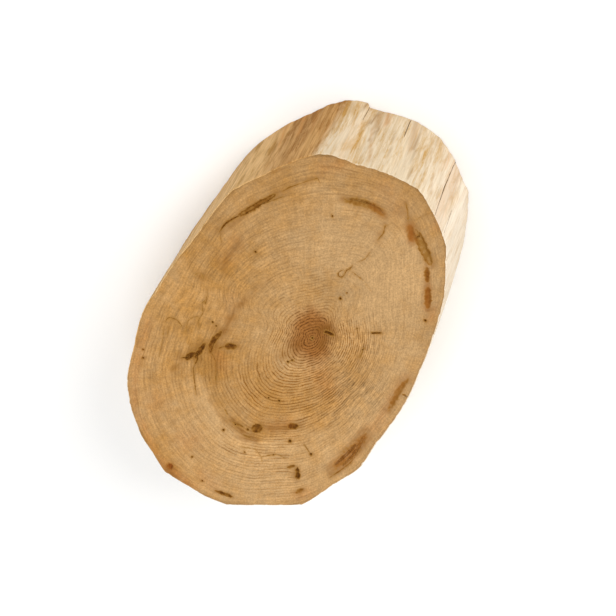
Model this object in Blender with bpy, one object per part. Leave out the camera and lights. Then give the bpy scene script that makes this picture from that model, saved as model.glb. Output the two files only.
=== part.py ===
"""A thick oval slice of a tree trunk, lying flat: its bark is peeled off and its side is hewn in flats.

Metres, +Z up. The origin is on the surface below, under the middle of the slice's box. +X runs along
the slice's long axis, towards the side where the trunk swelled, and the smaller cut face looks up.
"""

import math
import random

import bmesh
import bpy
from mathutils import Matrix, Vector

MM = 0.001

# Driving dimensions, in millimetres. X and Y are those of the upper face, before the whole slice is moved
# over its origin.
THICKNESS = 100
EASED_RIM = 1.2
FOOT_SWELL = (1.052, 1.02)  # the lower face's length and width over those of the upper face
FOOT_SHIFT = (15, 5)  # the cuts slant across the grain, which carries the lower face along
PITH = (7, -29)

# The hewn flats: how far apart their outline's points are, how much of the trunk's own roundness is left
# in each, as a share of its length, and how far their edges wander on the way down
POINT_SPACING = 10
FLAT_CROWN = 0.014
EDGE_WANDER = 2.0
SIDE_BOW = 0.7
RISES = (0, 0.13, 0.29, 0.46, 0.63, 0.8, 1)  # shares of the thickness where the side has points
SEED = 11

# Each corner between two flats, anticlockwise from above: its X and Y on the upper face, and how far its
# foot stands proud of the swelling's even line
CORNERS = (
    # The ridge between the long flank at +Y and the swollen end
    (183, 52, 2),
    (170, 65, 2.5),
    (157, 75, 1.5),
    (136, 90, 2.5),
    (107, 110, -1.5),
    (88, 115, 0.5),
    # The long flank at +Y
    (52, 121, 1.5),
    (34, 124, 1),
    (3, 130, 0),
    (-32, 134, 1),
    (-52, 137, -1),
    (-69, 137, 0),
    (-107, 130, 1.5),
    (-142, 123, -1),
    (-152, 119, 0),
    # The broad end at -X
    (-171, 108, 1),
    (-185, 96, 0),
    (-201, 81, -1.5),
    (-213, 62, 0),
    (-228, 40, 0),
    (-229.5, 8, -1.5),
    (-230.5, -12, -1),
    (-226.5, -37, 0),
    (-205, -69, -1),
    (-178, -108, 1.5),
    (-157, -118, 0),
    # The long flank at -Y
    (-136, -125, -1),
    (-121, -132, 0),
    (-102, -140, 1.5),
    (-67, -141, -1),
    (-40, -143, 0),
    (-6, -144, 0.5),
    (29, -140, 0),
    (76, -132, -1),
    (118, -121, -0.5),
    (150, -105, 2),
    # The swollen end at +X
    (164, -98, 1.5),
    (178, -83, -1.5),
    (187, -71, -0.5),
    (198, -54, -2.5),
    (201, -47, -2.5),
    (200, -22, 1),
    (199, -11, 0.5),
    (192, 19, 0.5),
    # A strip of wood split off beside this edge, so the foot steps in
    (191.5, 27, -1),
    (190.5, 30.5, 3.5),
    (188, 42, 2.5),
)

# Bark that the trunk grew round, and other hollows in the cut faces: the points along each on the upper
# face, its greatest width and depth, and whether it follows the grain right through to the lower face
HOLLOWS = {
    "seam": (((62, 102), (86, 91), (104, 83), (116, 75), (126, 66)), 3.6, 7, True),
    "arc_at_the_ridge": (((154, 12), (160, 0), (164, -12), (163, -27)), 5, 2.4, True),
    "arc_at_the_end": (((166, -54), (155, -66), (148, -78), (141, -90)), 5.5, 2.4, True),
    "short_dash": (((136, -92), (121, -99)), 3.6, 1.8, False),
    "long_dash": (((115, -103), (98, -112)), 5, 2.2, True),
    "flank_streak": (((20, -129), (-3, -131.5), (-25, -134)), 3.4, 1.8, False),
    "bark_pocket": (((-58, -129), (-83, -127.5), (-107, -125), (-131, -119)), 12, 3.2, True),
    "knot_row_outer": (((-92, 79), (-84, 75), (-76, 70)), 5, 2, False),
    "knot_row_line": (((-81, 66), (-71, 67), (-60, 63)), 3, 1.6, False),
    "knot_row_middle": (((-60, 57), (-50, 58), (-37, 54)), 6.5, 2.6, True),
    "knot_row_inner": (((-52, 45), (-45, 37)), 4, 1.8, False),
    "knot_below": (((-126, -23), (-117, -28)), 8.5, 3, True),
    "knot_tail": (((-112, -42), (-105, -50), (-94, -60)), 6.5, 2.6, True),
    "deep_knot": (((-151, -84), (-139, -88)), 6.5, 4, True),
    "end_streak": (((-216.5, -21), (-212.5, -38)), 3.2, 1.8, False),
    "heart_check": (((14, -33), (21, -38), (25, -49)), 1.8, 6, True),
}
HOLLOW_END_WIDTH = 0.5
HOLLOW_END_DEPTH = 0.15  # the depth left at a hollow's ends, as a share of its depth
HOLLOW_FLOOR = 0.5  # a hollow's floor over its mouth, in width
HOLLOW_FULLNESS = 0.6  # the lower, the sooner a hollow reaches its width from its ends
HOLLOW_RAGGED = (0.75, 1.1)  # the range that its half widths vary in
HOLLOW_SECTION_SPACING = 7
HOLLOW_SECTIONS = (5, 11)  # the fewest and the most
CUTTER_PROUD = 3  # how far a cutter stands out of the wood, so that it cuts clean through the surface

# Drying cracks in the side: the foot's X and Y, the heights where each starts and ends, its width at the
# surface and its depth
CRACKS = {
    "through_crack": ((211.5, -70), -6, 106, 1.2, 15),
    "low_crack": ((224, -9), -6, 31, 1.3, 9),
    "step_crack": ((216.5, 33.5), -6, 27, 1.3, 8),
    "shoulder_crack": ((197, -87), 34, 74, 1.0, 6),
    "broad_end_crack": ((-221, 30), -6, 62, 1.3, 12),
    "flank_crack": ((16, -142), 28, 106, 1.2, 9),
    "hidden_flank_crack": ((30, 132), -6, 58, 1.2, 9),
}
CRACK_SECTIONS = 6
CRACK_WANDER = 0.8
CRACK_END = 0.05  # what is left of a crack's width and depth where it dies out
CRACK_OPENING = 2  # a crack has its whole width at one over this share of its height


def clear_scene():
    for thing in list(bpy.data.objects):
        bpy.data.objects.remove(thing, do_unlink=True)


def at_foot(x, y, proud=0.0):
    """Where the grain that shows at (x, y) on the upper face comes out on the lower face."""
    reach = math.hypot(x, y)
    return Vector(
        (
            x * FOOT_SWELL[0] + FOOT_SHIFT[0] + proud * x / reach,
            y * FOOT_SWELL[1] + FOOT_SHIFT[1] + proud * y / reach,
        )
    )


def along_grain(x, y, rise, proud=0.0):
    """The grain through (x, y) of the upper face, at a share of the thickness: 0 below and 1 on top."""
    even = at_foot(x, y).lerp(Vector((x, y)), rise)
    departure = at_foot(x, y, proud) - at_foot(x, y)
    return even + departure * (1 - rise) ** 2


def outward(points, index):
    """The unit normal of a closed anticlockwise outline at one of its points."""
    along = points[(index + 1) % len(points)] - points[index - 1]
    return Vector((along.y, -along.x)).normalized()


def outline(rise, wander, bow):
    """The side's outline at a share of the thickness, with points along each flat."""
    sag = math.sin(math.pi * rise)
    corners = [along_grain(x, y, rise, proud) for x, y, proud in CORNERS]
    moved = []
    for index, corner in enumerate(corners):
        normal = outward(corners, index)
        along = Vector((-normal.y, normal.x))
        moved.append(corner + sag * (along * wander[index] + normal * bow[index]))
    points = []
    for index, start in enumerate(moved):
        end = moved[(index + 1) % len(moved)]
        x, y, _ = CORNERS[index]
        next_x, next_y, _ = CORNERS[(index + 1) % len(CORNERS)]
        length = math.hypot(next_x - x, next_y - y)
        steps = max(1, round(length / POINT_SPACING))
        normal = Vector((end.y - start.y, start.x - end.x)).normalized()
        for step in range(steps):
            share = step / steps
            crown = 4 * FLAT_CROWN * length * share * (1 - share)
            points.append(start.lerp(end, share) + normal * crown)
    return points


def drawn_in(points, distance):
    return [point - outward(points, index) * distance for index, point in enumerate(points)]


def mesh_object(name, bm):
    mesh = bpy.data.meshes.new(name)
    bmesh.ops.recalc_face_normals(bm, faces=bm.faces)
    bmesh.ops.scale(bm, vec=Vector((MM, MM, MM)), verts=bm.verts)
    bm.to_mesh(mesh)
    bm.free()
    thing = bpy.data.objects.new(name, mesh)
    bpy.context.scene.collection.objects.link(thing)
    return thing


def loft(name, sections):
    """A closed body through sections, each a list of as many 3D points, capped at both ends."""
    bm = bmesh.new()
    rings = [[bm.verts.new(point) for point in section] for section in sections]
    for low, high in zip(rings, rings[1:]):
        for index in range(len(low)):
            after = (index + 1) % len(low)
            bm.faces.new((low[index], low[after], high[after], high[index]))
    bm.faces.new(rings[0])
    bm.faces.new(rings[-1])
    return mesh_object(name, bm)


def slice_body():
    draw = random.Random(SEED)
    wander = [draw.uniform(-EDGE_WANDER, EDGE_WANDER) for _ in CORNERS]
    bow = [draw.uniform(-SIDE_BOW, SIDE_BOW) for _ in CORNERS]
    sections = []
    for rise in RISES:
        points = outline(rise, wander, bow)
        if rise == 0:
            sections.append([(p.x, p.y, 0) for p in drawn_in(points, EASED_RIM)])
            sections.append([(p.x, p.y, EASED_RIM) for p in points])
        elif rise == 1:
            sections.append([(p.x, p.y, THICKNESS - EASED_RIM) for p in points])
            sections.append([(p.x, p.y, THICKNESS) for p in drawn_in(points, EASED_RIM)])
        else:
            sections.append([(p.x, p.y, THICKNESS * rise) for p in points])
    return loft("wood_slice", sections)


def points_along(path, count):
    """Evenly spaced points along a path, with the direction at each."""
    lengths = [(end - start).length for start, end in zip(path, path[1:])]
    total = sum(lengths)
    found = []
    for number in range(count):
        left = total * number / (count - 1)
        leg = 0
        while leg < len(lengths) - 1 and left > lengths[leg]:
            left -= lengths[leg]
            leg += 1
        start, end = path[leg], path[leg + 1]
        found.append((start.lerp(end, min(1, left / lengths[leg])), (end - start).normalized()))
    return found


def hollow_cutter(name, path, width, depth, surface, out, draw):
    """A ragged trough along a path in a cut face. out is 1 for the upper face and -1 for the lower."""
    length = sum((end - start).length for start, end in zip(path, path[1:]))
    fewest, most = HOLLOW_SECTIONS
    count = max(fewest, min(most, round(length / HOLLOW_SECTION_SPACING)))
    sections = []
    for number, (point, along) in enumerate(points_along(path, count)):
        swell = math.sin(math.pi * number / (count - 1)) ** HOLLOW_FULLNESS
        across = Vector((-along.y, along.x))
        left = max(HOLLOW_END_WIDTH, width * swell * draw.uniform(*HOLLOW_RAGGED)) / 2
        right = max(HOLLOW_END_WIDTH, width * swell * draw.uniform(*HOLLOW_RAGGED)) / 2
        floor = max(HOLLOW_END_DEPTH, swell) * depth
        mouth = 1 + (1 - HOLLOW_FLOOR) * CUTTER_PROUD / depth
        top = surface + out * CUTTER_PROUD
        bottom = surface - out * floor
        corners = (
            (point + across * left * mouth, top),
            (point - across * right * mouth, top),
            (point - across * right * HOLLOW_FLOOR, bottom),
            (point + across * left * HOLLOW_FLOOR, bottom),
        )
        sections.append([(place.x, place.y, height) for place, height in corners])
    return loft(name, sections)


def crack_cutter(name, foot, start, end, width, depth, draw):
    """A wedge that runs up the side with the grain, pointing in at the pith."""
    upper = Vector(
        (
            (foot[0] - FOOT_SHIFT[0]) / FOOT_SWELL[0],
            (foot[1] - FOOT_SHIFT[1]) / FOOT_SWELL[1],
        )
    )
    runs_out_below = start < 0
    runs_out_above = end > THICKNESS
    sections = []
    for number in range(CRACK_SECTIONS):
        share = number / (CRACK_SECTIONS - 1)
        height = start + (end - start) * share
        fade = 1.0
        if not runs_out_below:
            fade = min(fade, CRACK_END + CRACK_OPENING * share)
        if not runs_out_above:
            fade = min(fade, CRACK_END + CRACK_OPENING * (1 - share))
        mouth = along_grain(upper.x, upper.y, height / THICKNESS)
        inward = (Vector(PITH) - upper).normalized()
        across = Vector((-inward.y, inward.x))
        mouth = mouth + across * draw.uniform(-CRACK_WANDER, CRACK_WANDER)
        half = fade * width / 2
        proud = mouth - inward * CUTTER_PROUD
        tip = mouth + inward * depth * fade
        flare = half * (1 + CUTTER_PROUD / depth)
        corners = (proud + across * flare, proud - across * flare, tip)
        sections.append([(corner.x, corner.y, height) for corner in corners])
    return loft(name, sections)


def cutters():
    draw = random.Random(SEED)
    found = []
    for name, (path, width, depth, right_through) in HOLLOWS.items():
        upper = [Vector(point) for point in path]
        found.append(hollow_cutter(f"{name}_cutter", upper, width, depth, THICKNESS, 1, draw))
        if right_through:
            lower = [at_foot(*point) for point in path]
            found.append(hollow_cutter(f"{name}_foot_cutter", lower, width, depth, 0, -1, draw))
    for name, (foot, start, end, width, depth) in CRACKS.items():
        found.append(crack_cutter(f"{name}_cutter", foot, start, end, width, depth, draw))
    return found


def box_middle(thing):
    """The middle of an object's box, at the height of its underside."""
    xs, ys, zs = zip(*(vertex.co for vertex in thing.data.vertices))
    return Vector(((min(xs) + max(xs)) / 2, (min(ys) + max(ys)) / 2, min(zs)))


def cut(body, tools):
    for tool in tools:
        tool.hide_render = True
        tool.display_type = "WIRE"
        modifier = body.modifiers.new(tool.name, "BOOLEAN")
        modifier.operation = "DIFFERENCE"
        modifier.object = tool


def peeled_wood():
    """Dry, planed end grain: pale brown and dull."""
    material = bpy.data.materials.new("peeled_wood")
    material.use_nodes = True
    shader = material.node_tree.nodes["Principled BSDF"]
    shader.inputs["Base Color"].default_value = (0.53, 0.32, 0.13, 1)
    shader.inputs["Roughness"].default_value = 0.72
    shader.inputs["Metallic"].default_value = 0
    return material


def main():
    clear_scene()
    body = slice_body()
    body.data.materials.append(peeled_wood())
    tools = cutters()
    to_origin = Matrix.Translation(-box_middle(body))
    for thing in (body, *tools):
        thing.data.transform(to_origin)
    cut(body, tools)


main()
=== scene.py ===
"""The wood slice as it looks: sawn end grain with rings, knots and grown-in bark, and a peeled, hewn side.

Lengths are in millimetres until the mesh is made. Places on the cut faces are in the axes that the slice
was drawn in, which start GROWN_FROM in the frame. Each stands for the grain through it, from the smaller
upper face down to the lower one.
"""

import math
import random

import bpy
import numpy as np
from mathutils import Matrix, Vector, geometry, kdtree, noise


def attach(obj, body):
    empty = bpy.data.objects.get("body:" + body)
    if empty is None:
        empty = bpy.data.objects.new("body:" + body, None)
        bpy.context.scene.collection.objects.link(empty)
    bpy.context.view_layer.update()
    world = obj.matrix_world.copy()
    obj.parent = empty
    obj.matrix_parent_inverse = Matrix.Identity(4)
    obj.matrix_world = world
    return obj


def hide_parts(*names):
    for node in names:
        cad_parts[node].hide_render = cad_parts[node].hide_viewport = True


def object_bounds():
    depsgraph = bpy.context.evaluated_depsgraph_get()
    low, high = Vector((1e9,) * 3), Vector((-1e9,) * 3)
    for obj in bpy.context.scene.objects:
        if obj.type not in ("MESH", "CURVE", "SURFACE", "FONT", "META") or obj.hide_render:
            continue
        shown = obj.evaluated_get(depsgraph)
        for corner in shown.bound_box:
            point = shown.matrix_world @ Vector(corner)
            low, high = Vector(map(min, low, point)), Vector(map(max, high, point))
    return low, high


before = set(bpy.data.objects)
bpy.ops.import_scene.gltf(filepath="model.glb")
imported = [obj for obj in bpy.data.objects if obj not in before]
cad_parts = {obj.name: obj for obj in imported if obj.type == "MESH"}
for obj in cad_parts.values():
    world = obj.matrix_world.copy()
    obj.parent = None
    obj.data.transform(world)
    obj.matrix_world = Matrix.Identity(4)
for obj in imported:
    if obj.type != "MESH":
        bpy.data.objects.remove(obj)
cad_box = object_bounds()

MM = 0.001
THICKNESS = cad_box[1].z / MM
GROWN_FROM = np.array((2.05, -0.33))
PITH = np.array((7.0, -29.0))

# How the slice is cut from the trunk: the lower face's size over that of the upper face and how far the
# slanting grain carries it, the roundness left in each hewn flat, and how far the flats' edges wander
FOOT_SWELL = np.array((1.052, 1.02))
FOOT_SHIFT = np.array((15.0, 5.0))
FLAT_CROWN = 0.014
EDGE_WANDER = 2.0
SIDE_BOW = 0.7
SEED = 11

# Each corner between two hewn flats, anticlockwise from above, and how far its foot stands proud of the
# swelling's even line
CORNERS = (
    (183, 52, 2), (170, 65, 2.5), (157, 75, 1.5), (136, 90, 2.5), (107, 110, -1.5), (88, 115, 0.5),
    (52, 121, 1.5), (34, 124, 1), (3, 130, 0), (-32, 134, 1), (-52, 137, -1), (-69, 137, 0),
    (-107, 130, 1.5), (-142, 123, -1), (-152, 119, 0), (-171, 108, 1), (-185, 96, 0), (-201, 81, -1.5),
    (-213, 62, 0), (-228, 40, 0), (-229.5, 8, -1.5), (-230.5, -12, -1), (-226.5, -37, 0), (-205, -69, -1),
    (-178, -108, 1.5), (-157, -118, 0), (-136, -125, -1), (-121, -132, 0), (-102, -140, 1.5),
    (-67, -141, -1), (-40, -143, 0), (-6, -144, 0.5), (29, -140, 0), (76, -132, -1), (118, -121, -0.5),
    (150, -105, 2), (164, -98, 1.5), (178, -83, -1.5), (187, -71, -0.5), (198, -54, -2.5),
    (201, -47, -2.5), (200, -22, 1), (199, -11, 0.5), (192, 19, 0.5), (191.5, 27, -1),
    (190.5, 30.5, 3.5), (188, 42, 2.5),
)

# Bark that the trunk grew round: the points along each, its width and depth, how dark its middle and its
# edges are, and whether it goes right through to the lower face
POCKETS = {
    "seam": (((125, 70.5), (115, 75.5), (109, 79.5), (97, 86.5), (86, 93)), 4.6, 1.4, 0.55, 0.8, True),
    "arc_at_the_ridge": (((154, 9), (157.5, 2), (160.5, -7), (162.3, -16), (162.5, -24), (160.5, -31)),
                         7.0, 0.9, 0.5, 0.42, True),
    "arc_start": (((164.5, -57), (158, -61.5), (151, -66.5)), 7.4, 0.5, 0.5, 0.36, False),
    "arc_at_the_end": (((162.5, -63), (156.5, -72), (149.5, -80.5), (144, -88), (139, -93)),
                       8.0, 0.9, 0.34, 0.62, True),
    "short_dash": (((134.5, -92), (122, -99)), 4.4, 0.8, 0.72, 0.5, False),
    "long_dash": (((117.5, -102.3), (98, -113)), 5.6, 0.9, 0.75, 0.55, True),
    "flank_streak": (((19, -133), (9, -132), (0, -131.5), (-10, -132), (-24, -133.5)),
                     5.2, 0.8, 0.46, 0.34, False),
    "bark_pocket": (((-62, -126.5), (-80, -124.5), (-94, -121.5), (-108, -118.5), (-119, -117)),
                    14.5, 1.2, 0.36, 0.12, True),
    "knot_row_outer": (((-88, 75.5), (-81, 73), (-76.5, 70)), 5.0, 1.3, 1.0, 0.8, True),
    "knot_row_line": (((-81, 67.5), (-72, 66.5), (-60, 65)), 4.2, 1.2, 0.95, 0.8, True),
    "knot_row_middle": (((-67, 56), (-57, 58.5), (-50, 58.5), (-38, 55.5)), 5.0, 1.2, 0.9, 0.65, True),
    "knot_row_inner": (((-52, 44.5), (-47, 39.5), (-45, 34.5)), 6.0, 0.9, 1.0, 0.6, False),
    "knot_below": (((-124.5, -21.5), (-115.5, -28)), 8.5, 1.2, 0.72, 0.85, True),
    "knot_tail": (((-99, -53), (-96, -57), (-92.5, -60.5)), 6.0, 1.2, 1.0, 0.7, True),
    "deep_knot": (((-139.5, -83.8), (-144, -86)), 3.6, 1.6, 0.9, 0.6, False),
    "deep_knot_foot": (((-143.5, -86), (-148, -88.3), (-151, -88)), 4.4, 2.0, 0.95, 0.7, True),
    "end_streak": (((-217, -19.5), (-213.3, -38.5)), 3.4, 0.9, 0.85, 0.6, False),
    "heart_check": (((20, -37), (21.5, -41.5), (21.5, -46)), 2.8, 1.2, 1.0, 0.9, True),
}

# Fine cracks and dark lines in the upper face: the points along each, its width, depth and darkness
LINES = {
    "seam_line": (((88, 91.5), (79, 97.5), (71, 101.4), (60, 103)), 2.2, 0.8, 0.9),
    "seam_prong": (((127, 62.5), (118, 70), (108, 78)), 1.4, 0.5, 0.6),
    "seam_gap": (((131, 65.7), (139, 61), (147, 54)), 1.5, 0.3, 0.65),
    "seam_tail": (((147, 54), (153.6, 48.4), (161, 41.3), (157, 37)), 1.0, 0.3, 0.5),
    "seam_branch": (((62, 102), (56, 100), (51, 96)), 1.2, 0.4, 0.35),
    "arc_edge": (((155.5, 9.5), (159.3, 3.2), (162.5, -6), (164.3, -16), (164.2, -24.7), (162, -29)),
                 1.8, 0.5, 0.7),
    "arc_tail": (((182, -43), (175, -49), (166.5, -54)), 1.5, 0.3, 0.5),
    "arc_fold": (((160, -64), (156, -68), (160, -71), (163, -67)), 1.1, 0.4, 0.75),
    "knot_row_dash": (((-90, 81), (-86, 76), (-83, 73.5)), 1.8, 0.4, 0.7),
    "knot_fork": (((-74, 68), (-80.7, 64.4), (-87.5, 64.3)), 2.2, 0.5, 0.85),
    "knot_stem": (((-87.5, 64.3), (-92.3, 64.6), (-107, 56.6), (-120, 48.3)), 1.1, 0.4, 0.7),
    "knot_smear": (((-57, 50), (-52, 46)), 2.4, 0.5, 0.6),
    "knot_ring": (((-64, 57), (-72.5, 46.3), (-84, 41), (-96, 35.7)), 1.3, 0.3, 0.65),
    "curl": (((-60, 112), (-55.5, 111.7), (-52.7, 109.4), (-51.5, 102), (-54.6, 94.7), (-58, 95.5)),
             1.1, 0.3, 0.65),
    "second_curl": (((-60, 87.6), (-47, 91.5), (-40, 89), (-34, 82)), 1.0, 0.25, 0.5),
    "wave": (((-2, 89), (-8, 85.2), (-15, 85), (-20, 86.7), (-29, 81), (-40, 82), (-48, 77)),
             1.0, 0.25, 0.5),
    "wave_dash": (((-12, 84), (-19, 83)), 1.5, 0.4, 0.7),
    "strand": (((-65, 111), (-81, 106), (-101, 101.6)), 0.9, 0.2, 0.4),
    "second_strand": (((-63.4, 106.7), (-74.5, 103)), 0.9, 0.2, 0.4),
    "swirl": (((4, 106), (9, 104), (10, 99), (5, 96)), 1.2, 0.25, 0.4),
    "knot_wisp": (((-96, 79), (-102, 81), (-108, 83)), 1.2, 0.25, 0.35),
    "blotch": (((-127.6, 1), (-127.7, -4.2), (-126.9, -11.5)), 3.2, 0.6, 0.62),
    "low_blotch": (((-135.6, -16), (-135, -24)), 2.8, 0.5, 0.55),
    "side_blotch": (((-119, 14), (-123, 9)), 2.2, 0.4, 0.4),
    "wavy_ring": (((-150.3, -43.2), (-141.3, -51.1), (-136.3, -56.9), (-135.7, -66.7)), 1.0, 0.25, 0.5),
    "wavy_ring_below": (((-151, -19), (-144, -34), (-149, -44), (-155.3, -48)), 0.9, 0.2, 0.4),
    "low_line": (((-109, -76), (-115, -87)), 0.9, 0.3, 0.6),
    "low_dash": (((-144.5, -74), (-138.5, -79.5)), 3.6, 0.6, 0.75),
    "small_knot": (((-168.5, -95.5), (-159, -100)), 4.2, 0.6, 0.7),
    "bark_fold_a": (((-60, -126.3), (-80.6, -127.4), (-94, -127), (-108.4, -123.7)), 3.0, 0.8, 0.62),
    "bark_fold_b": (((-78.5, -123.4), (-94.7, -120.8), (-112.6, -115.8)), 2.8, 0.6, 0.52),
    "bark_fold_c": (((-88, -129.8), (-100, -128.4), (-113, -124.5), (-130, -118)), 1.8, 0.5, 0.55),
    "right_streak": (((136, -37.5), (144, -39), (152.6, -36.6)), 1.9, 0.3, 0.5),
    "right_tail": (((152, -37), (157, -42)), 1.0, 0.2, 0.3),
    "hook": (((90, -22.7), (85.3, -19.6), (81.4, -20.9), (81.3, -24.3), (85.6, -26)), 1.1, 0.4, 0.75),
    "squiggle": (((85.6, -26), (91, -25.4), (95, -28), (98.6, -28.5)), 1.1, 0.4, 0.7),
    "squiggle_tail": (((104, -31), (111.2, -35.9), (122, -37)), 0.9, 0.25, 0.4),
    "cross_line": (((92.3, -31.7), (91.5, -38), (90.5, -43.9)), 1.0, 0.3, 0.5),
    "cross_tail": (((90, -46), (87.9, -50), (84, -57)), 0.8, 0.2, 0.25),
    "ring_gap": (((26, -79), (20, -80), (14, -80)), 1.5, 0.4, 0.6),
    "radial_dash": (((43.5, -77.5), (49.6, -86)), 2.2, 0.8, 1.0),
    "radial_line": (((31, -56), (38, -67), (44, -78)), 0.7, 0.15, 0.2),
    "rim_line": (((188, -70), (180, -64), (170, -58)), 0.8, 0.2, 0.25),
}

# Soft brown smudges where bark or a knot lies close under the face, and one painted shadow along the lower
# left rim: the points along each, how far it reaches to each side and how dark it is
SMUDGES = (
    (((-90, 80), (-78, 71), (-62, 66)), 5, 0.5), (((-80, 72), (-82, 64)), 4, 0.4),
    (((-96, 79), (-108, 83)), 3, 0.4), (((-64, 57), (-40, 56), (-33, 53)), 6, 0.6),
    (((-52, 47), (-45, 38)), 5, 0.5), (((-64, 57), (-72, 46), (-96, 36)), 3, 0.3),
    (((-36, 67), (-34, 58)), 6, 0.3), (((15, 47), (-10, 54), (-29, 53), (-44, 56)), 4, 0.4),
    (((40, 38), (15, 47)), 4, 0.2), (((60, 77), (39, 84.5), (27, 83)), 3.5, 0.4),
    (((6, 102), (8, 98)), 6, 0.3), (((-2, 88), (-14, 85)), 3, 0.25),
    (((-126, 2), (-130, -8), (-136, -18), (-134, -30)), 4, 0.55), (((-141, -10), (-139, -22)), 3, 0.4),
    (((-117, 33), (-127, 19), (-134, 1), (-138, -16)), 2.4, 0.2),
    (((-117, -28), (-108, -42), (-98, -56)), 3.5, 0.4), (((-101, -51), (-90, -62)), 5, 0.5),
    (((-142, -84), (-152, -89)), 5, 0.45), (((-168, -96), (-160, -100)), 4, 0.4),
    (((19, -31), (26, -39), (24, -44)), 5.5, 0.65), (((12, -41), (3, -42)), 4.5, 0.5),
    (((-8, -18), (-28, -12)), 7, 0.35), (((31, -53), (34, -59)), 3, 0.3),
    (((26, -80), (10, -80)), 3, 0.3), (((62, 102), (104, 83), (126, 66)), 5, 0.35),
    (((126, 66), (146, 56), (164, 40)), 3, 0.3), (((152, 77), (146, 84)), 4, 0.45),
    (((154, 12), (162, -12), (162, -29)), 4, 0.3), (((182, -43), (166, -54)), 3, 0.35),
    (((172, -50), (164, -56)), 5, 0.3), (((166, -54), (148, -78), (138, -94)), 4, 0.3),
    (((136, -92), (98, -112)), 3.5, 0.25), (((135, -37), (153, -37)), 4, 0.35),
    (((-62, -126), (-94, -124), (-120, -117)), 7, 0.14), (((-91, -119.5), (-108, -114.5)), 4.5, 0.35),
    # The second one here, on the lower left rim, is painted shadow of the rim
    (((19, -132), (-24, -133)), 4.5, 0.35), (((-226, 33), (-229, 8)), 3, 0.5),
    (((-28, -19), (-27, -23)), 4, 0.3), (((60, 84), (40, 80), (30, 86)), 7, 0.2),
    (((34, 92), (22, 78)), 4, 0.22), (((-216, -20), (-213, -38)), 4, 0.3),
)

# Rust-coloured patches: the points along each, how far it reaches and how strong it is
RUST = (
    (((136, -92), (120, -100)), 4, 0.5), (((118, -102), (98, -112)), 4, 0.9),
    (((163, -58), (152, -66)), 4.2, 1.2), (((163, -17), (161, -29)), 4, 0.8),
    (((-66, -126), (-94, -123), (-112, -118)), 7, 0.85), (((20, -130), (-37, -130)), 5, 0.6),
    (((-218.3, 37.3), (-217.5, 38)), 4.5, 1.8), (((-220, 47), (-228, 14)), 7, 1.2),
    (((-66, 46), (-72, 40)), 10, 0.6), (((-110, -38), (-96, -50)), 8, 0.6),
    (((-18, -48), (-34, -64)), 13, 0.6), (((-178, 35), (-172, 30)), 12, 0.5),
    (((-160, 87), (-150, 84)), 14, 0.3), (((-211, -14), (-206, 0)), 9, 0.5),
    (((60, 84), (36, 86)), 10, 0.3), (((2, 60), (-20, 56)), 9, 0.3), (((185, -20), (170, -40)), 9, 0.35),
    (((175, 40), (184, 30)), 8, 0.5), (((-70, 128), (-130, 119)), 6, 0.5),
    # Along the left rim: an orange-rust tint that is partly the wood's own colour and partly painted shadow
    # of the lower rim
    (((-130, 118), (-171, 102), (-208, 62), (-226, 36), (-226, 0)), 4.5, 0.6),
    (((-52, -128), (-40, -134)), 8, 0.5), (((-170, -100), (-160, -108)), 7, 0.5),
    (((186, -74), (176, -80)), 4, 0.5), (((104, -118), (88, -121)), 4, 0.5),
)

# Pinholes and small dark specks in the upper face: place, radius and darkness
SPECKS = (
    (-33, 68, 1.1, 0.8), (-35, 63, 1.0, 0.7), (-103, 120, 1.1, 0.7), (-112, 116, 1.2, 0.8),
    (-129, -3, 1.1, 0.6), (-114, -62, 1.6, 1.0), (-214, -1, 1.2, 0.8), (-218.3, 37.3, 3.9, 0.8),
    (7, -29, 1.2, 0.9), (-127, -17, 1.4, 1.0), (-142.4, 5.4, 1.2, 1.0), (-154, -26, 1.0, 0.6),
    (-139, -54, 1.0, 0.6), (-193, 21, 1.2, 0.7), (60.5, 62, 1.2, 0.9), (61, -34, 1.3, 0.9),
    (134, 12, 1.1, 0.6), (-31, -19, 1.3, 0.8), (-27, -22, 1.1, 0.8), (23, -79, 1.1, 0.6),
    (-80, -20, 1.1, 0.6), (-77, -31, 1.2, 0.9), (-115.5, -88, 1.5, 0.9), (85, -117, 1.3, 0.8),
    (70, -37, 1.0, 0.5), (41, -63, 0.9, 0.6),
)

# Drying cracks in the side: the foot's place, the heights of its ends, its width and depth, and how dark its
# inside is painted, as painted shade
CRACKS = {
    "through_crack": ((211.5, -70), -6, 100, 0.7, 5, 0.85),
    "low_crack": ((224, -9), -6, 34, 0.45, 4, 0.4),
    "step_crack": ((216.5, 33.5), -6, 27, 0.8, 5, 0.9),
    "shoulder_crack": ((197, -87), 58, 98, 0.6, 3, 0.3),
    "broad_end_crack": ((-221, 30), -6, 62, 1.0, 6, 1.0),
    "flank_crack": ((16, -142), 28, 106, 0.9, 6, 1.0),
    "hidden_flank_crack": ((30, 132), -6, 58, 0.9, 6, 1.0),
}

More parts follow.
